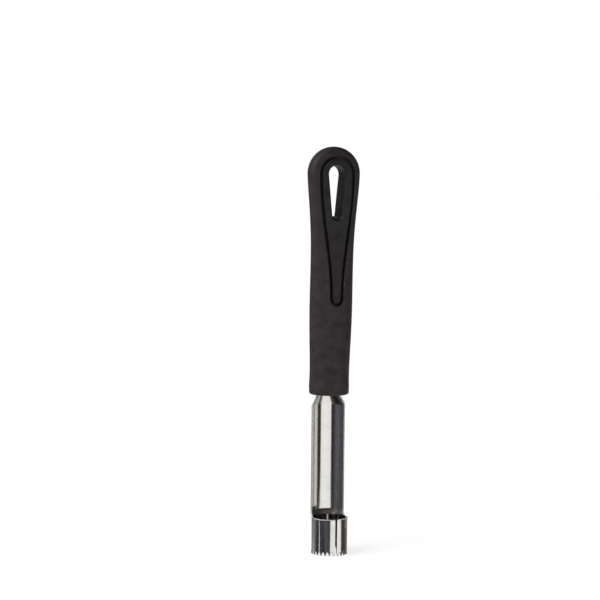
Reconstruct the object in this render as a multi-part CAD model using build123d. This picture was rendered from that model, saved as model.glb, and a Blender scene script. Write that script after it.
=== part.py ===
from build123d import *

import math
import os

# Apple corer: a blade rolled from one piece of stainless sheet, moulded into a two-shot handle.
# Millimetres. The blade's axis is Z, with the tooth tips at Z = 0 and the handle above them.
# The front, where the trough is open and the handle carries its inlaid tongue, faces -Y.

# Blade: cutting ring, core trough, drawn-in neck and hidden tang, all one sheet. The trough is
# flatter than the ring: its circle is larger and its middle lies forward of the ring's axis.
SHEET = 0.7
RING_D = 16.0
RING_LENGTH = 16.0
SEAM_GAP = 0.8
TOOTH_COUNT = 26
TOOTH_DEPTH = 1.7
TOOTH_TIP = 0.2
GULLET_R = 0.38
TROUGH_D = 19.0
TROUGH_FORWARD = 2.55
TROUGH_FLARE = 2.7
TROUGH_LENGTH = 49.0
TROUGH_HALF_ANGLE = 56.0
WINDOW_CORNER_R = 1.6
NECK_D = 10.5
NECK_LENGTH = 5.2
NECK_SHOWING = 5.0
NECK_EDGE_SETBACK = 3.2
TANG_LENGTH = 26.0
TANG_CORNER_R = 3.0
LOCK_HOLE_D = 4.0
LOCK_HOLE_COUNT = 2
LOCK_HOLE_PITCH = 12.0
LOCK_HOLE_FROM_END = 8.0

# Handle: outside form, from the round collar up to the flat rounded head. A setback is how far
# the middle of a cross section lies behind the blade's axis.
HANDLE_LENGTH = 108.0
COLLAR_WALL = 3.55
COLLAR_SETBACK = 2.2
COLLAR_EDGE_R = 1.0
COLLAR_BAND = 3.0
COLLAR_STEP = 0.06
SHANK_RISE = 20.0
SHANK_W = 17.6
SHANK_T = 15.6
SHANK_SETBACK = 1.5
WAIST_RISE = 52.0
WAIST_W = 18.4
WAIST_T = 12.8
WAIST_SETBACK = 0.55
SHOULDER_DROP = 18.0
SHOULDER_W = 20.3
SHOULDER_T = 10.5
SHOULDER_SETBACK = -0.45
CHEEK_DROP = 6.5
CHEEK_W = 22.5
HEAD_W = 23.3
HEAD_T = 9.8
HEAD_SETBACK = -0.75
FULLNESS = 2.5
SECTION_POINTS = 7

# Two-shot build-up: hard core with its tongue, soft sleeve over it, and what keys them together.
SLEEVE = 2.0
LAND_W = 3.55
GROOVE_W = 1.3
EYE_DROP = 0.3
TONGUE_RUN = 54.0
TONGUE_MID_DROP = 32.7
TONGUE_MID_W = 7.0
TONGUE_TIP_R = 1.8
RIM_W = 2.9
HOLE_RUN = 17.4
HOLE_FOOT_R = 2.2
HOLE_DISH = 0.7
SEAT_W = 1.5
BOSS_LAP = 1.0
BOSS_TOP_D = 10.6
BOSS_TOP_SETBACK = 1.1
KEY_D = 3.0
KEY_COUNT = 2
KEY_PITCH = 10.0
KEY_DROP = 27.7

# Places that follow from the sizes above.
RING_R = RING_D / 2
SHOULDER_Z = RING_LENGTH + TROUGH_LENGTH
COLLAR_Z = SHOULDER_Z + NECK_SHOWING
TANG_END_Z = COLLAR_Z + TANG_LENGTH
NECK_SETBACK = TROUGH_D / 2 - TROUGH_FORWARD - NECK_D / 2
EDGE_TURN = math.radians(TROUGH_HALF_ANGLE)
EDGE_FRONT_Y = (TROUGH_D / 2 - SHEET) * math.cos(EDGE_TURN) - TROUGH_FORWARD
COLLAR_D = NECK_D + 2 * COLLAR_WALL
HEAD_Z = COLLAR_Z + HANDLE_LENGTH - HEAD_W / 2
EYE_Z = HEAD_Z - EYE_DROP
TIP_Z = EYE_Z - TONGUE_RUN
TONGUE_TOP_R = HEAD_W / 2 - LAND_W - GROOVE_W
HOLE_TOP_R = TONGUE_TOP_R - RIM_W
CLEAR = max(HANDLE_LENGTH, HEAD_W)
PADDLE_FRONT_Y = HEAD_SETBACK - HEAD_T / 2 + SLEEVE
PADDLE_BACK_Y = HEAD_SETBACK + HEAD_T / 2 - SLEEVE
BOSS_D = COLLAR_D - 2 * SLEEVE


def tube(inset):
    """Lengths of solid inside one face of the rolled sheet, from the teeth to the end of the tang."""
    stations = [
        (0, RING_D, 0),
        (RING_LENGTH, RING_D, 0),
        (RING_LENGTH + TROUGH_FLARE, TROUGH_D, -TROUGH_FORWARD),
        (SHOULDER_Z, TROUGH_D, -TROUGH_FORWARD),
        (SHOULDER_Z + NECK_LENGTH, NECK_D, NECK_SETBACK),
        (TANG_END_Z, NECK_D, NECK_SETBACK),
    ]
    rounds = [Pos(0, setback, z) * Circle(diameter / 2 - inset) for z, diameter, setback in stations]
    lengths = []
    for i in range(0, len(rounds) - 1, 2):
        lengths.append(extrude(rounds[i], amount=stations[i + 1][0] - stations[i][0]))
    for i in range(1, len(rounds) - 1, 2):
        lengths.append(loft([rounds[i], rounds[i + 1]]))
    return lengths


def window():
    """Opening of the trough, cut square to the sheet and closing in along the neck."""
    corners = [
        (0, -TROUGH_FORWARD),
        (CLEAR * math.sin(EDGE_TURN), CLEAR * math.cos(EDGE_TURN) - TROUGH_FORWARD),
        (CLEAR, -CLEAR),
        (0, -CLEAR),
    ]
    right = Pos(0, 0, RING_LENGTH) * extrude(make_face(Polyline(*corners, close=True)), amount=CLEAR)
    foot = right.edges().group_by(Axis.Z)[0].sort_by(Axis.Y)[-1]
    right = fillet(foot, WINDOW_CORNER_R)
    profile = Polyline(
        (-CLEAR, SHOULDER_Z),
        (EDGE_FRONT_Y, SHOULDER_Z),
        (NECK_EDGE_SETBACK, SHOULDER_Z + NECK_LENGTH),
        (NECK_EDGE_SETBACK, TANG_END_Z + CLEAR),
        (-CLEAR, TANG_END_Z + CLEAR),
        close=True,
    )
    neck = extrude(Plane.YZ * make_face(profile), amount=CLEAR, both=True)
    return [right, mirror(right, about=Plane.YZ), neck]


def gullets():
    """One rounded V between each pair of teeth; the first is split by the seam at the front."""
    half_mouth = (math.pi * RING_D / TOOTH_COUNT - TOOTH_TIP) / 2
    straight = TOOTH_DEPTH - GULLET_R
    lean = 1 - (GULLET_R / half_mouth) ** 2
    apex = (straight + math.sqrt(straight**2 - lean * (straight**2 - GULLET_R**2))) / lean
    below = apex
    face = make_face(Polyline((-2 * half_mouth, -below), (2 * half_mouth, -below), (0, apex), close=True))
    face = fillet(face.vertices().sort_by(Axis.Y)[-1], GULLET_R)
    cutter = extrude(Plane.XZ * face, amount=RING_D)
    step = 360 / TOOTH_COUNT
    return [Rot(0, 0, i * step) * cutter for i in range(TOOTH_COUNT)]


def lock_holes():
    """Round holes along the back of the tang that the core's plastic flows through."""
    first = TANG_END_Z - LOCK_HOLE_FROM_END
    bore = Rot(-90, 0, 0) * Cylinder(LOCK_HOLE_D / 2, CLEAR, align=(Align.CENTER, Align.CENTER, Align.MIN))
    return [Pos(0, 0, first - i * LOCK_HOLE_PITCH) * bore for i in range(LOCK_HOLE_COUNT)]


def above_collar():
    """Everything above the plane of the collar's face."""
    return Pos(0, 0, COLLAR_Z) * Box(CLEAR, CLEAR, CLEAR, align=(Align.CENTER, Align.CENTER, Align.MIN))


def tang_corners():
    """Everything outside the rounded upper end of the tang, seen from the front."""
    end = RectangleRounded(NECK_D, 2 * TANG_LENGTH, TANG_CORNER_R)
    around = Rectangle(2 * NECK_D, 2 * TANG_LENGTH + NECK_D)
    ring = Plane.XZ * Pos(0, TANG_END_Z - TANG_LENGTH) * (around - end)
    return extrude(ring, amount=CLEAR, both=True) & above_collar()


def corer_blade():
    """Cutting ring, trough, neck and tang as one rolled sheet with an open butt seam at the front."""
    sheet = Part() + tube(0) - tube(SHEET)
    seam = Pos(0, -RING_R, RING_LENGTH / 2) * Box(SEAM_GAP, RING_D, 2 * RING_LENGTH)
    return sheet - window() - seam - gullets() - lock_holes() - tang_corners()


def section(rise, width, thickness, setback):
    """Cross section of the handle at a height above the collar: round, or squarer where it is flat."""
    power = 2 / (2 + FULLNESS * (1 - thickness / width))
    points = []
    for i in range(SECTION_POINTS):
        turn = math.pi * i / (SECTION_POINTS - 1)
        forward = math.cos(turn)
        across = width / 2 * math.sin(turn) ** power
        through = -thickness / 2 * math.copysign(abs(forward) ** power, forward)
        points.append((across, through))
    right = Spline(points, tangents=[(1, 0), (-1, 0)])
    return Plane(origin=(0, setback, COLLAR_Z + rise)) * make_face([right, mirror(right, about=Plane.YZ)])


def collar_band():
    """Straight band at the collar with a rounded lower edge, a hair inside the shank above it."""
    band = Cylinder(COLLAR_D / 2 - COLLAR_STEP, COLLAR_BAND, align=(Align.CENTER, Align.CENTER, Align.MIN))
    band = fillet(band.edges().sort_by(Axis.Z)[0], COLLAR_EDGE_R)
    return Pos(0, COLLAR_SETBACK, COLLAR_Z) * band


def handle_form():
    """Outside form of the handle: a shank lofted from the collar to the head, and the head's half turn."""
    head_rise = HEAD_Z - COLLAR_Z
    shank = loft(
        [
            section(COLLAR_BAND, COLLAR_D, COLLAR_D, COLLAR_SETBACK),
            section(SHANK_RISE, SHANK_W, SHANK_T, SHANK_SETBACK),
            section(WAIST_RISE, WAIST_W, WAIST_T, WAIST_SETBACK),
            section(head_rise - SHOULDER_DROP, SHOULDER_W, SHOULDER_T, SHOULDER_SETBACK),
            section(head_rise - CHEEK_DROP, CHEEK_W, HEAD_T, HEAD_SETBACK),
            section(head_rise, HEAD_W, HEAD_T, HEAD_SETBACK),
        ]
    )
    top = shank.faces().sort_by(Axis.Z)[-1]
    right_half = top & Pos(HEAD_W / 2, 0, HEAD_Z) * Box(HEAD_W, CLEAR, HEAD_W)
    dome = revolve(right_half, Axis((0, 0, HEAD_Z), (0, -1, 0)), revolution_arc=180)
    return shank + dome + collar_band()


def tongue_outline(grow=0.0):
    """Front view of the tongue, round at the top and waisted towards its tip, grown evenly all round."""
    top_r = TONGUE_TOP_R + grow
    tip_r = TONGUE_TIP_R + grow
    right = Spline(
        (top_r, EYE_Z),
        (TONGUE_MID_W / 2 + grow, EYE_Z - TONGUE_MID_DROP),
        (tip_r, TIP_Z),
        tangents=[(0, -1), (0, -1)],
    )
    crown = ThreePointArc((-top_r, EYE_Z), (0, EYE_Z + top_r), (top_r, EYE_Z))
    tip = ThreePointArc((-tip_r, TIP_Z), (0, TIP_Z - tip_r), (tip_r, TIP_Z))
    return Plane.XZ * make_face([right, mirror(right, about=Plane.YZ), crown, tip])


def in_front(grow):
    """Tongue outline carried forward from the front of the core's paddle."""
    return extrude(Pos(0, PADDLE_FRONT_Y, 0) * tongue_outline(grow), amount=CLEAR)


def hole_outline(grow=0.0):
    """Front view of the hang hole, round at both ends and narrower at its foot."""
    top = Pos(0, EYE_Z) * Circle(HOLE_TOP_R + grow)
    foot = Pos(0, EYE_Z - HOLE_RUN) * Circle(HOLE_FOOT_R + grow)
    return Plane.XZ * make_hull(top.edges() + foot.edges())


def hang_hole():
    """Hang hole through the head, with its mouth dished at the front and at the back."""
    hole = extrude(hole_outline(), amount=CLEAR, both=True)
    for side in (-1, 1):
        face_y = HEAD_SETBACK + side * HEAD_T / 2
        outer = Pos(0, face_y + side * HOLE_DISH, 0) * hole_outline(2 * HOLE_DISH)
        inner = Pos(0, face_y - side * HOLE_DISH, 0) * hole_outline()
        hole += loft([outer, inner])
    return hole


def keys():
    """Cross bars through the core that the sleeve's plastic fills."""
    bar = Rot(0, 90, 0) * Cylinder(KEY_D / 2, CLEAR)
    middle = (PADDLE_FRONT_Y + PADDLE_BACK_Y) / 2
    return [Pos(0, middle, EYE_Z - KEY_DROP - i * KEY_PITCH) * bar for i in range(KEY_COUNT)]


def inner_form():
    """Core inside the sleeve: a flat paddle behind the tongue and a tapered boss round the tang."""
    outline = Pos(0, PADDLE_BACK_Y, 0) * tongue_outline(GROOVE_W + SEAT_W)
    paddle = extrude(outline, amount=PADDLE_BACK_Y - PADDLE_FRONT_Y)
    rise = TIP_Z + BOSS_LAP - COLLAR_Z
    lean = Plane(origin=(0, COLLAR_SETBACK, COLLAR_Z), z_dir=(0, BOSS_TOP_SETBACK - COLLAR_SETBACK, rise))
    boss = Cone(BOSS_D / 2, BOSS_TOP_D / 2, rise + COLLAR_BAND, align=(Align.CENTER, Align.CENTER, Align.MIN))
    return paddle + (lean.offset(-COLLAR_BAND) * boss & above_collar())


def handle_core(blade, outside, inside):
    """Hard core moulded round the tang, with the tongue that shows at the front."""
    tongue = outside & in_front(0)
    return inside + tongue - hang_hole() - keys() - blade


def grip_sleeve(blade, outside, inside):
    """Soft sleeve over the core, open at the front for the tongue and the groove round it."""
    skin = outside - inside - in_front(GROOVE_W)
    plugs = [inside & key for key in keys()]
    return skin + plugs - hang_hole() - blade


def main():
    """Builds the three pieces and writes one STEP file for each."""
    os.makedirs("parts", exist_ok=True)
    blade = corer_blade()
    outside = handle_form()
    inside = inner_form()
    pieces = {
        "corer_blade": blade,
        "handle_core": handle_core(blade, outside, inside),
        "grip_sleeve": grip_sleeve(blade, outside, inside),
    }
    for name, piece in pieces.items():
        export_step(piece, f"parts/{name}.step")


main()
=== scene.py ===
"""Looks of an apple corer: a rolled steel blade in a two-material handle, standing in a plain studio."""

import logging
import math
from dataclasses import dataclass, field
from enum import Enum
from typing import Any

import bmesh
import bpy
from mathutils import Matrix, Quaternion, Vector


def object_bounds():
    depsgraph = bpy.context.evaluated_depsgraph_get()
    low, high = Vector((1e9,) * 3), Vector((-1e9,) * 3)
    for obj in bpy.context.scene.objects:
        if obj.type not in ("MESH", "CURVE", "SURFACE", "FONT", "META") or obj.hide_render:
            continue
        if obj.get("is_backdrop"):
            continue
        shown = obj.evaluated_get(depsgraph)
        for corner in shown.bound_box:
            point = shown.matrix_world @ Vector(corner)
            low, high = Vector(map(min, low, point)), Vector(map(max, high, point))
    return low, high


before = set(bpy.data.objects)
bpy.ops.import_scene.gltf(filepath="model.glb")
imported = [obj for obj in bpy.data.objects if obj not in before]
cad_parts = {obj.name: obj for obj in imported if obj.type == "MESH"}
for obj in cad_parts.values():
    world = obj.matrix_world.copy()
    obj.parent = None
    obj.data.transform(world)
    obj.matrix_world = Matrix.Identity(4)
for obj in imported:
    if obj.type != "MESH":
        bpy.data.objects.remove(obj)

log = logging.getLogger("apple_corer")

MM = 0.001
FULL_TURN = 360.0

Node = bpy.types.Node
Socket = bpy.types.NodeSocket
Colour = tuple[float, float, float]
Stretch = tuple[float, float, float]
Span = tuple[float, float]

RISING: Span = (0.0, 1.0)
FALLING: Span = (1.0, 0.0)
WHITE: Colour = (1.0, 1.0, 1.0)


class Piece(Enum):
    """The corer's three pieces, by the names of their nodes."""

    BLADE = "corer_blade"
    CORE = "handle_core"
    SLEEVE = "grip_sleeve"


class Tint(Enum):
    """Casts of the light round the tool."""

    PLAIN = (1.0, 1.0, 1.0)
    COOL = (0.98, 0.97, 1.16)
    WARM = (1.06, 0.98, 0.94)


Stops = tuple[tuple[float, float, Tint], ...]


class Graph:
    """Adds nodes to one node tree and links their sockets."""

    def __init__(self, tree: bpy.types.NodeTree) -> None:
        """Empties the tree.

        Args:
            tree: The node tree to fill.
        """
        self.tree = tree
        tree.nodes.clear()

    def add(self, kind: str, inputs: dict[Any, Any] | None = None, **settings: Any) -> Node:
        """Makes one node.

        Args:
            kind: The node's type name, without the ShaderNode prefix where it has that.
            inputs: Values or output sockets for the node's inputs, by name or number.
            settings: Values for the node's own properties.

        Returns:
            The new node.
        """
        known = kind if kind.startswith("NodeGroup") else "ShaderNode" + kind
        node = self.tree.nodes.new(known)
        for name, value in settings.items():
            setattr(node, name, value)
        for name, value in (inputs or {}).items():
            if isinstance(value, Socket):
                self.tree.links.new(value, node.inputs[name])
            else:
                node.inputs[name].default_value = value
        return node

    def link(self, value: Socket, node: Node, name: str) -> None:
        """Links a socket to a node's named input."""
        self.tree.links.new(value, node.inputs[name])

    def group(self, effect: bpy.types.NodeTree, **inputs: Any) -> Node:
        """Places a shared effect.

        Args:
            effect: The effect's node group.
            inputs: Values or output sockets for its inputs.

        Returns:
            The placed group.
        """
        return self.add("Group", inputs, node_tree=effect)

    def math(self, operation: str, first: Any, second: Any = 0.0, third: Any = 0.0) -> Socket:
        """Works out one sum.

        Args:
            operation: The Math node's operation.
            first: The first value or socket.
            second: The second value or socket.
            third: The third value or socket.

        Returns:
            The result's socket.
        """
        return self.add("Math", {0: first, 1: second, 2: third}, operation=operation).outputs[0]

    def spread(self, value: Any, span: tuple[Any, Any], onto: Span = RISING) -> Socket:
        """Maps a span of values onto another, held at both ends.

        Args:
            value: The socket to map.
            span: The values or sockets where the mapping begins and ends.
            onto: The results there.

        Returns:
            The mapped value's socket.
        """
        inputs = {
            "Value": value,
            "From Min": span[0],
            "From Max": span[1],
            "To Min": onto[0],
            "To Max": onto[1],
        }
        return self.add("MapRange", inputs, clamp=True).outputs[0]

    def noise(self, vector: Any, scale: Any, detail: float = 2.0, rough: float = 0.5) -> Socket:
        """Makes noise between 0 and 1.

        Args:
            vector: The coordinates' socket.
            scale: Lumps per unit of the coordinates, as a value or a socket.
            detail: Octaves.
            rough: How strong the finer octaves are.

        Returns:
            The noise's socket.
        """
        inputs = {"Vector": vector, "Scale": scale, "Detail": detail, "Roughness": rough}
        return self.add("TexNoise", inputs).outputs[0]

    def stretched(self, vector: Any, scale: Stretch, lean: float = 0.0) -> Socket:
        """Stretches coordinates along the axes.

        Args:
            vector: The coordinates' socket.
            scale: The factor on each axis.
            lean: The turn about X and about Y, in radians.

        Returns:
            The stretched coordinates' socket.
        """
        inputs = {"Vector": vector, "Rotation": (lean, lean, 0.0), "Scale": scale}
        return self.add("Mapping", inputs).outputs[0]

    def mix(self, share: Any, first: Any, second: Any) -> Socket:
        """Blends two colours.

        Args:
            share: How much of the second colour there is.
            first: The first colour or socket.
            second: The second colour or socket.

        Returns:
            The blended colour's socket.
        """
        # The node has sockets of each type under the same names, so those for colours go by number.
        return self.add("Mix", {0: share, 6: first, 7: second}, data_type="RGBA").outputs[2]

    def grey(self, value: Any) -> Socket:
        """Turns a brightness into a grey."""
        return self.add("CombineColor", {"Red": value, "Green": value, "Blue": value}).outputs[0]


def rgba(colour: Colour) -> tuple[float, float, float, float]:
    """A colour with full opacity."""
    return (*colour, 1.0)


def metres(span: Span) -> Span:
    """A span given in mm, in metres."""
    return (span[0] * MM, span[1] * MM)


def new_group(name: str, inputs: tuple[str, ...], outputs: tuple[str, ...]) -> tuple[Graph, Node, Node]:
    """Starts a shader node group that takes a vector and some numbers and puts out numbers.

    Args:
        name: The group's name.
        inputs: The names of the number inputs.
        outputs: The names of the number outputs.

    Returns:
        The group's graph, its input node and its output node.
    """
    tree = bpy.data.node_groups.new(name, "ShaderNodeTree")
    tree.interface.new_socket("Vector", in_out="INPUT", socket_type="NodeSocketVector")
    for label in inputs:
        tree.interface.new_socket(label, in_out="INPUT", socket_type="NodeSocketFloat")
    for label in outputs:
        tree.interface.new_socket(label, in_out="OUTPUT", socket_type="NodeSocketFloat")
    graph = Graph(tree)
    return graph, graph.add("NodeGroupInput"), graph.add("NodeGroupOutput")


@dataclass
class SurfaceEffects:
    """Effects that the finishes share, each one a node group that is built once.

    Scales are in lumps per metre. A span holds the two values between which a mask fades in or out.
    """

    patch_span: Span = (0.32, 0.68)
    fleck_scale: float = 900.0
    fleck_edge: Span = (0.10, 0.24)
    fleck_choice: Span = (0.80, 0.95)
    dust_scale: float = 130.0
    dust_span: Span = (0.45, 0.70)
    scratch_sets: tuple[tuple[float, Stretch], ...] = (
        (0.5, (2600.0, 2600.0, 130.0)),
        (-0.35, (1700.0, 1700.0, 90.0)),
    )
    scratch_span: Span = (0.70, 0.76)
    scratch_patch_scale: float = 160.0
    scratch_patch_span: Span = (0.52, 0.66)
    grain: bpy.types.NodeTree = field(init=False)
    dust: bpy.types.NodeTree = field(init=False)
    scratches: bpy.types.NodeTree = field(init=False)

    def __post_init__(self) -> None:
        """Builds the groups."""
        self.grain = self.build_grain()
        self.dust = self.build_dust()
        self.scratches = self.build_scratches()

    def build_grain(self) -> bpy.types.NodeTree:
        """Fine even grain over a slower unevenness, as tool marks leave on a moulding or a sheet.

        Returns:
            The group, which puts out the grain's height and the slow patches.
        """
        graph, source, result = new_group("surface_grain", ("Grain", "Patch"), ("Height", "Patches"))
        vector = source.outputs["Vector"]
        fine = graph.noise(vector, source.outputs["Grain"], detail=3.0)
        slow = graph.noise(vector, source.outputs["Patch"], detail=4.0)
        graph.link(fine, result, "Height")
        graph.link(graph.spread(slow, self.patch_span), result, "Patches")
        return graph.tree

    def build_dust(self) -> bpy.types.NodeTree:
        """Small pale flecks gathered in loose patches.

        Returns:
            The group, which puts out the flecks' mask.
        """
        graph, source, result = new_group("dust_flecks", ("Amount",), ("Mask",))
        vector = source.outputs["Vector"]
        cells = graph.add("TexVoronoi", {"Vector": vector, "Scale": self.fleck_scale})
        dot = graph.spread(cells.outputs["Distance"], self.fleck_edge, FALLING)
        chosen = graph.add("SeparateColor", {"Color": cells.outputs["Color"]}).outputs[0]
        rare = graph.spread(chosen, self.fleck_choice)
        patch = graph.spread(graph.noise(vector, self.dust_scale, detail=3.0), self.dust_span)
        mask = graph.math("MULTIPLY", graph.math("MULTIPLY", dot, rare), patch)
        graph.link(graph.math("MULTIPLY", mask, source.outputs["Amount"]), result, "Mask")
        return graph.tree

    def build_scratches(self) -> bpy.types.NodeTree:
        """Short hairline scratches in two leaning directions.

        Returns:
            The group, which puts out the scratches' mask.
        """
        graph, source, result = new_group("hair_scratches", ("Amount",), ("Mask",))
        vector = source.outputs["Vector"]
        masks = []
        for lean, stretch in self.scratch_sets:
            lines = graph.noise(graph.stretched(vector, stretch, lean), 1.0, detail=1.0)
            patches = graph.noise(vector, self.scratch_patch_scale * (1 + abs(lean)))
            patch = graph.spread(patches, self.scratch_patch_span)
            masks.append(graph.math("MULTIPLY", graph.spread(lines, self.scratch_span), patch))
        both = graph.math("MAXIMUM", masks[0], masks[1])
        graph.link(graph.math("MULTIPLY", both, source.outputs["Amount"]), result, "Mask")
        return graph.tree


def new_material(
    name: str, metallic: float, specular: float
) -> tuple[bpy.types.Material, Graph, Node, Socket]:
    """Starts a material with one Principled BSDF on Object coordinates.

    Args:
        name: The material's name.
        metallic: 1 for bare metal, 0 for plastic.
        specular: The specular level.

    Returns:
        The material, its graph, its BSDF and its coordinates' socket.
    """
    material = bpy.data.materials.new(name)
    material.use_nodes = True
    graph = Graph(material.node_tree)
    bsdf = graph.add("BsdfPrincipled", {"Metallic": metallic, "Specular IOR Level": specular})
    graph.add("OutputMaterial", {"Surface": bsdf.outputs[0]})
    return material, graph, bsdf, graph.add("TexCoord").outputs["Object"]


@dataclass(frozen=True)
class Relief:
    """Fine relief of a finish, and the small rounding of its edges.

    Attributes:
        strength: How strongly the relief shows.
        lip: Radius of the rounding, in mm.
        rays: How many rays look for the edges.
    """

    strength: float
    lip: float
    rays: int

    def shape(self, graph: Graph, bsdf: Node, height: Socket) -> None:
        """Turns the normals of a material.

        Args:
            graph: The material's graph.
            bsdf: Its shader.
            height: The relief's height, in metres.
        """
        lips = graph.add("Bevel", {"Radius": self.lip * MM}, samples=self.rays).outputs[0]
        inputs = {"Strength": self.strength, "Distance": 1.0, "Height": height, "Normal": lips}
        graph.link(graph.add("Bump", inputs).outputs[0], bsdf, "Normal")


@dataclass(frozen=True)
class SheetMasks:
    """Sockets that mark out the sheet's matt flare, its sheared edges, which are rougher and carry a
    painted highlight, and the painted shade in its seam and bore.
    """

    matt: Socket
    sheared: Socket
    painted_shade: Socket


@dataclass(frozen=True)
class RolledSheet:
    """The sheet that the blade is rolled from, and where forming, shearing and use have marked it.

    Lengths are in mm. The flare, the shoulder and the top of the painted shade in the bore are heights on
    the axis. Each middle is how far the middle of a round part lies behind the axis. A core is the share
    of a mark that has its full strength.
    """

    thickness: float = 0.7
    ring_radius: float = 8.0
    flare: Span = (16.0, 18.7)
    flare_core: float = 0.6
    trough_middle: float = -2.55
    trough_radius: float = 9.5
    shoulder: Span = (65.0, 70.2)
    neck_middle: float = 1.70
    neck_radius: float = 5.25
    seam_half: float = 0.4
    # Half height of the band along the rim's front that is rougher and carries the painted highlight, and
    # the share of it at full strength.
    burr: float = 0.35
    burr_core: float = 0.5
    outer_fade: Span = (0.04, 0.08)
    inner_fade: Span = (0.02, 0.06)
    front_fade: Span = (0.0, -1.0)
    # Painted shade in the lower back of the bore: how high it reaches, where toward the back it begins,
    # and how strong it is.
    painted_shade_top: Span = (10.5, 13.0)
    painted_shade_back: Span = (1.0, 3.0)
    painted_shade_share: float = 0.6

    def masks(self, graph: Graph, place: Socket) -> SheetMasks:
        """Marks the sheet out.

        Args:
            graph: The material's graph.
            place: The coordinates' socket.

        Returns:
            The masks' sockets.
        """
        axes = graph.add("SeparateXYZ", {"Vector": place})
        depth = self.depth(graph, axes)
        below_face = graph.spread(depth, metres(self.outer_fade))
        inner = (self.thickness - self.inner_fade[0], self.thickness - self.inner_fade[1])
        above_bore = graph.spread(depth, metres(inner))
        cut = graph.math("MULTIPLY", below_face, above_bore)
        forward = graph.spread(axes.outputs["Y"], metres(self.front_fade))
        # The seam's cut faces and the lower back of the bore are marked for painted shade.
        seam = graph.math("MULTIPLY", cut, self.slit_mask(graph, axes, forward))
        bore = self.bore_mask(graph, axes, above_bore)
        return SheetMasks(
            matt=self.flare_mask(graph, axes),
            sheared=self.shear_mask(graph, axes, cut, forward),
            painted_shade=graph.math("MAXIMUM", seam, bore),
        )

    def depth(self, graph: Graph, axes: Node) -> Socket:
        """Works out how far each point lies inside the sheet's outer face.

        Args:
            graph: The material's graph.
            axes: The node that puts out X, Y and Z.

        Returns:
            The depth's socket: 0 on the outer face, and the sheet's thickness on the inner one.
        """
        flared = graph.spread(axes.outputs["Z"], metres(self.flare))
        drawn_in = graph.spread(axes.outputs["Z"], metres(self.shoulder))
        middle = graph.math("MULTIPLY", flared, self.trough_middle * MM)
        moved = (self.neck_middle - self.trough_middle) * MM
        middle = graph.math("MULTIPLY_ADD", drawn_in, moved, middle)
        widened = (self.trough_radius - self.ring_radius) * MM
        narrowed = (self.neck_radius - self.trough_radius) * MM
        radius = graph.math("MULTIPLY_ADD", flared, widened, self.ring_radius * MM)
        radius = graph.math("MULTIPLY_ADD", drawn_in, narrowed, radius)
        through = graph.math("SUBTRACT", axes.outputs["Y"], middle)
        flat = graph.add("CombineXYZ", {"X": axes.outputs["X"], "Y": through})
        out = graph.add("VectorMath", {0: flat.outputs[0]}, operation="LENGTH").outputs["Value"]
        return graph.math("SUBTRACT", radius, out)

    def flare_mask(self, graph: Graph, axes: Node) -> Socket:
        """Finds the flare above the ring, where forming has left the sheet matt.

        Args:
            graph: The material's graph.
            axes: The node that puts out X, Y and Z.

        Returns:
            The mask's socket.
        """
        middle = 0.5 * (self.flare[0] + self.flare[1]) * MM
        reach = self.flare[1] * MM - middle
        off = graph.math("ABSOLUTE", graph.math("SUBTRACT", axes.outputs["Z"], middle))
        return graph.spread(off, (reach, self.flare_core * reach))

    def shear_mask(self, graph: Graph, axes: Node, cut: Socket, forward: Socket) -> Socket:
        """Finds the ring's upper rim and the trough's long edges, which are rougher and carry a painted
        highlight.

        Args:
            graph: The material's graph.
            axes: The node that puts out X, Y and Z.
            cut: The mask of the faces between the sheet's two sides.
            forward: The mask of the blade's front.

        Returns:
            The mask's socket.
        """
        rim = self.flare[0] * MM
        upper = graph.math("GREATER_THAN", axes.outputs["Z"], rim - self.burr * MM)
        off_rim = graph.math("ABSOLUTE", graph.math("SUBTRACT", axes.outputs["Z"], rim))
        at_rim = graph.spread(off_rim, metres((self.burr, self.burr_core * self.burr)))
        edges = graph.math("MULTIPLY", cut, upper)
        return graph.math("MAXIMUM", edges, graph.math("MULTIPLY", at_rim, forward))

    def slit_mask(self, graph: Graph, axes: Node, forward: Socket) -> Socket:
        """Finds the open seam down the ring's front, whose cut faces are painted with shade.

        Args:
            graph: The material's graph.
            axes: The node that puts out X, Y and Z.
            forward: The mask of the blade's front.

        Returns:
            The mask's socket.
        """
        side = graph.math("ABSOLUTE", axes.outputs["X"])
        faces = (self.seam_half + self.inner_fade[1], self.seam_half + self.inner_fade[0])
        return graph.math("MULTIPLY", graph.spread(side, metres(faces)), forward)

    def bore_mask(self, graph: Graph, axes: Node, above_bore: Socket) -> Socket:
        """Finds the lower back of the ring's bore, where shade is painted.

        Args:
            graph: The material's graph.
            axes: The node that puts out X, Y and Z.
            above_bore: The mask of all that lies above the sheet's inner face.

        Returns:
            The mask's socket.
        """
        back = graph.spread(axes.outputs["Y"], metres(self.painted_shade_back), (0.0, self.painted_shade_share))
        low = graph.spread(axes.outputs["Z"], metres(self.painted_shade_top), FALLING)
        inside = graph.math("SUBTRACT", 1.0, above_bore)
        return graph.math("MULTIPLY", inside, graph.math("MULTIPLY", back, low))


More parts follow.
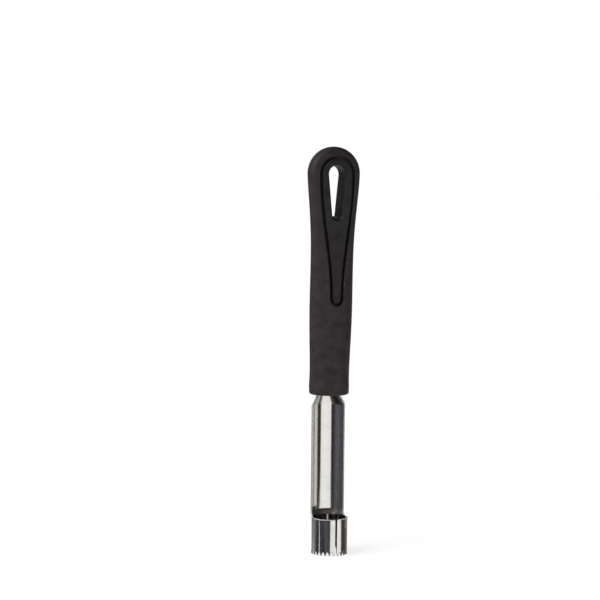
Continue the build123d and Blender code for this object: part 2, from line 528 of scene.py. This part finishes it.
@dataclass(frozen=True)
class RolledSteel:
    """Bright stainless sheet with faint drawing lines, hazy handling marks, duller sheared edges with a
    painted highlight, and painted shade in the seam and the bore.

    Scales are in lumps per metre, and the heights of ripple, pits and lines in mm.
    """

    colour: Colour = (0.64, 0.625, 0.60)
    tarnish: Colour = (0.50, 0.48, 0.45)
    tarnish_share: float = 0.2
    # Painted highlight on the sheared edges and along the front of the rim.
    edge_highlight: Colour = (0.97, 0.96, 0.94)
    # Painted shade for the seam and the bore.
    painted_shade_colour: Colour = (0.030, 0.026, 0.023)
    specular: float = 0.5
    polished: float = 0.05
    smudged: float = 0.08
    smudge_span: Span = (0.45, 1.0)
    sheared: float = 0.48
    stretched: float = 0.26
    grain_scale: float = 2300.0
    patch_scale: float = 170.0
    drawn_stretch: Stretch = (9000.0, 9000.0, 60.0)
    drawn_span: Span = (0.35, 0.75)
    drawn_rough: float = 0.04
    scratches: float = 0.6
    scratch_rough: float = 0.12
    haze: float = 0.45
    haze_scale: float = 850.0
    haze_span: Span = (0.48, 0.64)
    haze_rough: float = 0.45
    haze_index: float = 2.3
    ripple: float = 0.03
    ripple_scale: float = 420.0
    pits: float = 0.015
    lines: float = 0.03
    relief: Relief = Relief(strength=0.25, lip=0.30, rays=8)

    def material(self, effects: SurfaceEffects, sheet: RolledSheet) -> bpy.types.Material:
        """Builds the finish.

        Args:
            effects: The shared effects.
            sheet: The sheet to be dressed.

        Returns:
            The material.
        """
        material, graph, bsdf, place = new_material("rolled_steel", metallic=1.0, specular=self.specular)
        grain = graph.group(effects.grain, Vector=place, Grain=self.grain_scale, Patch=self.patch_scale)
        scratch = graph.group(effects.scratches, Vector=place, Amount=self.scratches)
        drawn = graph.noise(graph.stretched(place, self.drawn_stretch), 1.0)
        smudge = graph.spread(grain.outputs["Patches"], self.smudge_span)
        masks = sheet.masks(graph, place)

        rough = graph.spread(smudge, RISING, (self.polished, self.smudged))
        rough = graph.math("ADD", rough, graph.spread(drawn, self.drawn_span, (0.0, self.drawn_rough)))
        rough = graph.math("MULTIPLY_ADD", scratch.outputs["Mask"], self.scratch_rough, rough)
        rough = graph.math("MULTIPLY_ADD", masks.sheared, self.sheared, rough)
        rough = graph.math("MULTIPLY_ADD", masks.matt, self.stretched, rough)
        graph.link(rough, bsdf, "Roughness")

        tarnished = graph.math("MULTIPLY", smudge, self.tarnish_share)
        colour = graph.mix(tarnished, rgba(self.colour), rgba(self.tarnish))
        # Painted highlight: the sheared edges and a band along the front of the rim turn near white.
        colour = graph.mix(masks.sheared, colour, rgba(self.edge_highlight))
        # Painted shade: the seam's cut faces and the lower back of the bore turn near black.
        colour = graph.mix(masks.painted_shade, colour, rgba(self.painted_shade_colour))
        graph.link(colour, bsdf, "Base Color")

        # The handling marks are a dull coat that comes and goes over the bright metal.
        breath = graph.noise(place, self.haze_scale, detail=3.0, rough=0.6)
        graph.link(graph.spread(breath, self.haze_span, (0.0, self.haze)), bsdf, "Coat Weight")
        bsdf.inputs["Coat Roughness"].default_value = self.haze_rough
        bsdf.inputs["Coat IOR"].default_value = self.haze_index

        ripple = graph.math("MULTIPLY", graph.noise(place, self.ripple_scale), self.ripple * MM)
        pits = graph.math("MULTIPLY", grain.outputs["Height"], self.pits * MM)
        lines = graph.math("MULTIPLY", drawn, self.lines * MM)
        height = graph.math("ADD", graph.math("ADD", ripple, pits), lines)
        self.relief.shape(graph, bsdf, height)
        return material


@dataclass(frozen=True)
class MouldedPlastic:
    """Black moulded plastic with a fine satin grain, dust and hairline scratches.

    Scales are in lumps per metre, and the grain's height in mm.
    """

    name: str
    colour: Colour
    worn: Colour
    rough: float
    specular: float
    grain_scale: float
    grain_height: float
    marked: float
    relief: Relief
    patch_scale: float = 260.0
    rough_swing: float = 0.06
    mark: Colour = (0.16, 0.15, 0.15)
    mark_rough: float = 0.2

    def material(self, effects: SurfaceEffects) -> bpy.types.Material:
        """Builds the finish.

        Args:
            effects: The shared effects.

        Returns:
            The material.
        """
        material, graph, bsdf, place = new_material(self.name, metallic=0.0, specular=self.specular)
        grain = graph.group(effects.grain, Vector=place, Grain=self.grain_scale, Patch=self.patch_scale)
        dust = graph.group(effects.dust, Vector=place, Amount=self.marked)
        scratch = graph.group(effects.scratches, Vector=place, Amount=self.marked)
        patches = grain.outputs["Patches"]
        marks = graph.math("MAXIMUM", dust.outputs["Mask"], scratch.outputs["Mask"])
        colour = graph.mix(patches, rgba(self.colour), rgba(self.worn))
        graph.link(graph.mix(marks, colour, rgba(self.mark)), bsdf, "Base Color")
        swing = (self.rough + self.rough_swing, self.rough - self.rough_swing)
        rough = graph.spread(patches, RISING, swing)
        graph.link(graph.math("MULTIPLY_ADD", marks, self.mark_rough, rough), bsdf, "Roughness")
        height = graph.math("MULTIPLY", grain.outputs["Height"], self.grain_height * MM)
        self.relief.shape(graph, bsdf, height)
        return material


SOFT_GRIP = MouldedPlastic(
    name="soft_grip",
    colour=(0.0205, 0.0158, 0.0182),
    worn=(0.0345, 0.0272, 0.0300),
    rough=0.56,
    specular=0.34,
    grain_scale=4200.0,
    grain_height=0.03,
    marked=0.75,
    relief=Relief(strength=0.5, lip=0.45, rays=6),
)
HARD_PLASTIC = MouldedPlastic(
    name="hard_plastic",
    colour=(0.0105, 0.0092, 0.0112),
    worn=(0.0205, 0.0180, 0.0205),
    rough=0.46,
    specular=0.30,
    grain_scale=5200.0,
    grain_height=0.018,
    marked=0.35,
    relief=Relief(strength=0.5, lip=0.60, rays=6),
)


def dress_piece(piece: Piece, material: bpy.types.Material) -> str:
    """Puts a finish on a piece's node.

    Args:
        piece: The piece to dress.
        material: The finish.

    Returns:
        The finish's name.
    """
    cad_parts[piece.value].material_slots[0].material = material
    return material.name


@dataclass
class Blade:
    """The blade: ring, trough, neck and tang in one rolled sheet."""

    sheet: RolledSheet = RolledSheet()
    steel: RolledSteel = RolledSteel()

    def dress(self, effects: SurfaceEffects) -> dict[Piece, str]:
        """Gives the blade its finish.

        Args:
            effects: The shared effects.

        Returns:
            The finish's name, by piece.
        """
        return {Piece.BLADE: dress_piece(Piece.BLADE, self.steel.material(effects, self.sheet))}


@dataclass
class Handle:
    """The handle: a hard core, and a soft sleeve moulded over it."""

    core: MouldedPlastic = HARD_PLASTIC
    sleeve: MouldedPlastic = SOFT_GRIP

    def dress(self, effects: SurfaceEffects) -> dict[Piece, str]:
        """Gives the core and the sleeve their finishes.

        Args:
            effects: The shared effects.

        Returns:
            The finishes' names, by piece.
        """
        finishes = {Piece.CORE: self.core, Piece.SLEEVE: self.sleeve}
        return {piece: dress_piece(piece, finish.material(effects)) for piece, finish in finishes.items()}


@dataclass
class Studio:
    """Plain pale floor, soft light all round and the camera.

    The light round the tool changes with direction, which is measured by three parts of a unit vector:
    near is toward the camera's side, across is to the camera's right, and height is up.
    """

    camera_place: Vector = field(default_factory=lambda: Vector((-0.29968, -0.74175, 0.1648)))
    camera_aim: Vector = field(default_factory=lambda: Vector((-0.01284, 0.00519, 0.11124)))
    camera_roll: float = math.radians(0.545)
    lens_mm: float = 110.44
    sensor_mm: float = 36.0
    floor_half: float = 12.0
    floor_shade: float = 0.45
    floor_rough: float = 0.9
    floor_specular: float = 0.1
    floor_glow: float = 0.78
    backdrop: float = 1.0
    overhead_left: float = 0.62
    overhead_right: float = 0.07
    overhead_across: Span = (-0.7, 0.5)
    overhead_far: float = 0.1
    overhead_near: Span = (-0.75, -0.35)
    behind: float = 1.6
    behind_near: Span = (-0.86, -0.95)
    behind_height: Span = (0.28, 0.22)
    underfoot: float = 0.12
    underfoot_left: float = 0.02
    underfoot_left_across: Span = (-0.30, -0.05)
    underfoot_right: float = 0.85
    underfoot_right_across: Span = (0.35, 0.60)
    band_low_back: float = -0.42
    band_low_front: float = -0.222
    band_low_near: Span = (0.0, 0.5)
    band_high: float = 0.0
    band_fade: float = 0.03
    step_height: Span = (-0.1835, -0.1795)
    key_from: Vector = field(default_factory=lambda: Vector((-1.30, -0.30, 1.05)))
    key_spread: float = math.radians(38.0)
    key_strength: float = 1.25
    # What the blade mirrors, as brightness by the angle from the camera's side, in degrees, + to the
    # right: low down, where the ring looks, and higher up, where the trough looks.
    low_surround: Stops = (
        (-180.0, 1.05, Tint.PLAIN),
        (-158.0, 0.95, Tint.PLAIN),
        (-146.0, 0.43, Tint.PLAIN),
        (-128.0, 0.30, Tint.PLAIN),
        (-114.0, 0.50, Tint.PLAIN),
        (-104.0, 0.24, Tint.PLAIN),
        (-94.0, 0.09, Tint.WARM),
        (-89.0, 0.025, Tint.WARM),
        (-69.0, 0.015, Tint.COOL),
        (-67.5, 1.15, Tint.PLAIN),
        (-64.5, 1.15, Tint.PLAIN),
        (-63.0, 0.05, Tint.COOL),
        (-40.0, 0.045, Tint.COOL),
        (-32.0, 0.04, Tint.COOL),
        (-20.0, 0.12, Tint.COOL),
        (-12.0, 0.10, Tint.COOL),
        (5.0, 0.08, Tint.COOL),
        (6.0, 1.15, Tint.PLAIN),
        (42.0, 1.28, Tint.PLAIN),
        (80.0, 1.22, Tint.PLAIN),
        (82.0, 0.05, Tint.WARM),
        (130.0, 0.09, Tint.WARM),
        (145.0, 0.30, Tint.PLAIN),
        (156.0, 0.95, Tint.PLAIN),
        (180.0, 1.05, Tint.PLAIN),
    )
    high_surround: Stops = (
        (-180.0, 0.55, Tint.PLAIN),
        (-165.0, 0.03, Tint.PLAIN),
        (-105.0, 0.03, Tint.PLAIN),
        (-95.0, 0.20, Tint.PLAIN),
        (-64.0, 0.09, Tint.COOL),
        (-48.0, 0.085, Tint.COOL),
        (-30.0, 0.145, Tint.COOL),
        (-18.0, 0.11, Tint.COOL),
        (-4.0, 0.035, Tint.COOL),
        (8.0, 0.03, Tint.COOL),
        (9.0, 1.16, Tint.PLAIN),
        (40.0, 1.26, Tint.PLAIN),
        (70.0, 1.20, Tint.PLAIN),
        (72.0, 0.05, Tint.WARM),
        (112.0, 0.045, Tint.WARM),
        (119.0, 0.70, Tint.WARM),
        (180.0, 0.55, Tint.PLAIN),
    )

    def build(self) -> None:
        """Sets the floor, the light and the camera up."""
        self.floor()
        self.surroundings()
        self.key_light()
        self.camera()
        bpy.context.scene.view_settings.view_transform = "Standard"

    def floor(self) -> None:
        """Lays the floor under the teeth."""
        shape = bmesh.new()
        bmesh.ops.create_grid(shape, x_segments=1, y_segments=1, size=self.floor_half)
        mesh = bpy.data.meshes.new("floor")
        shape.to_mesh(mesh)
        shape.free()
        obj = bpy.data.objects.new("floor", mesh)
        obj.location.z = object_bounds()[0][2]
        bpy.context.scene.collection.objects.link(obj)
        material, _, bsdf, _ = new_material("pale_floor", metallic=0.0, specular=self.floor_specular)
        bsdf.inputs["Base Color"].default_value = rgba((self.floor_shade,) * 3)
        bsdf.inputs["Roughness"].default_value = self.floor_rough
        bsdf.inputs["Emission Color"].default_value = rgba(WHITE)
        bsdf.inputs["Emission Strength"].default_value = self.floor_glow
        mesh.materials.append(material)
        obj.visible_glossy = False
        obj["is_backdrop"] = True

    def surroundings(self) -> None:
        """Surrounds the tool with the studio's light and dark sides, and a plain backdrop."""
        world = bpy.data.worlds.new("studio")
        bpy.context.scene.world = world
        world.use_nodes = True
        graph = Graph(world.node_tree)
        turn = -math.atan2(self.camera_place.y, self.camera_place.x)
        direction = graph.add("TexCoord").outputs["Generated"]
        turned = graph.add("Mapping", {"Vector": direction, "Rotation": (0.0, 0.0, turn)}).outputs[0]
        near, across, height = graph.add("SeparateXYZ", {"Vector": turned}).outputs

        shade = self.sides(graph, turned, height)
        low = graph.spread(near, self.band_low_near, (self.band_low_back, self.band_low_front))
        lowest = graph.math("SUBTRACT", low, self.band_fade)
        below = graph.grey(self.below(graph, across))
        shade = graph.mix(graph.spread(height, (lowest, low)), below, shade)
        top = (self.band_high, self.band_high + self.band_fade)
        above = graph.grey(self.above(graph, near, across, height))
        shade = graph.mix(graph.spread(height, top), shade, above)

        seen = graph.add("LightPath").outputs["Is Camera Ray"]
        shade = graph.mix(seen, shade, rgba((self.backdrop,) * 3))
        light = graph.add("Background", {"Color": shade})
        graph.add("OutputWorld", {"Surface": light.outputs[0]})

    def sides(self, graph: Graph, turned: Socket, height: Socket) -> Socket:
        """Sets the light and dark sides that the blade mirrors.

        Args:
            graph: The world's graph.
            turned: The direction, turned to the camera's side.
            height: The direction's height.

        Returns:
            The colour's socket.
        """
        around = graph.add("TexGradient", {"Vector": turned}, gradient_type="RADIAL").outputs[1]
        colours = []
        for stops in (self.low_surround, self.high_surround):
            ramp = graph.add("ValToRGB", {"Fac": around})
            self.fill_ramp(ramp.color_ramp, stops)
            colours.append(ramp.outputs[0])
        return graph.mix(graph.spread(height, self.step_height), colours[0], colours[1])

    def above(self, graph: Graph, near: Socket, across: Socket, height: Socket) -> Socket:
        """Sets the light overhead, with a bright strip low down behind the tool.

        Args:
            graph: The world's graph.
            near: How far the direction points toward the camera's side.
            across: How far it points to the right.
            height: How far it points up.

        Returns:
            The brightness's socket.
        """
        light = graph.spread(across, self.overhead_across, (self.overhead_left, self.overhead_right))
        far = graph.spread(near, self.overhead_near, (self.overhead_far, 1.0))
        light = graph.math("MULTIPLY", light, far)
        back = graph.spread(near, self.behind_near)
        strip = graph.math("MULTIPLY", back, graph.spread(height, self.behind_height))
        return graph.math("MULTIPLY_ADD", strip, self.behind, light)

    def below(self, graph: Graph, across: Socket) -> Socket:
        """Sets the light from underfoot, which grows from left to right.

        Args:
            graph: The world's graph.
            across: How far the direction points to the right.

        Returns:
            The brightness's socket.
        """
        left_side = (self.underfoot_left, self.underfoot)
        right_side = (0.0, self.underfoot_right - self.underfoot)
        light = graph.spread(across, self.underfoot_left_across, left_side)
        return graph.math("ADD", light, graph.spread(across, self.underfoot_right_across, right_side))

    def fill_ramp(self, ramp: bpy.types.ColorRamp, stops: Stops) -> None:
        """Sets a ramp's stops.

        Args:
            ramp: The ramp to fill.
            stops: Each stop's angle, brightness and tint.
        """
        while len(ramp.elements) > 1:
            ramp.elements.remove(ramp.elements[-1])
        for number, (angle, shade, tint) in enumerate(stops):
            place = angle / FULL_TURN + 0.5
            stop = ramp.elements[0] if number == 0 else ramp.elements.new(place)
            stop.position = place
            stop.color = rgba(tuple(shade * part for part in tint.value))

    def key_light(self) -> None:
        """Lights the tool softly from the upper left."""
        lamp = bpy.data.lights.new("key", "SUN")
        lamp.angle = self.key_spread
        lamp.energy = self.key_strength
        obj = bpy.data.objects.new("key", lamp)
        obj.location = self.key_from
        obj.rotation_euler = (-self.key_from).to_track_quat("-Z", "Y").to_euler()
        bpy.context.scene.collection.objects.link(obj)

    def camera(self) -> None:
        """Places the camera at the photograph's viewing angle."""
        lens = bpy.data.cameras.new("camera")
        lens.lens = self.lens_mm
        lens.sensor_width = self.sensor_mm
        obj = bpy.data.objects.new("camera", lens)
        aim = (self.camera_aim - self.camera_place).to_track_quat("-Z", "Y")
        obj.rotation_mode = "QUATERNION"
        obj.rotation_quaternion = aim @ Quaternion((0.0, 0.0, 1.0), self.camera_roll)
        obj.location = self.camera_place
        bpy.context.scene.collection.objects.link(obj)
        bpy.context.scene.camera = obj


def main() -> None:
    """Builds and dresses everything in order, and reports each piece."""
    logging.basicConfig(level=logging.INFO, format="%(message)s")
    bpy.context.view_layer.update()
    effects = SurfaceEffects()
    for assembly in (Blade(), Handle()):
        for piece, finish in assembly.dress(effects).items():
            log.info("%s dressed in %s", piece.value, finish)
    Studio().build()


if __name__ == "__main__":
    main()
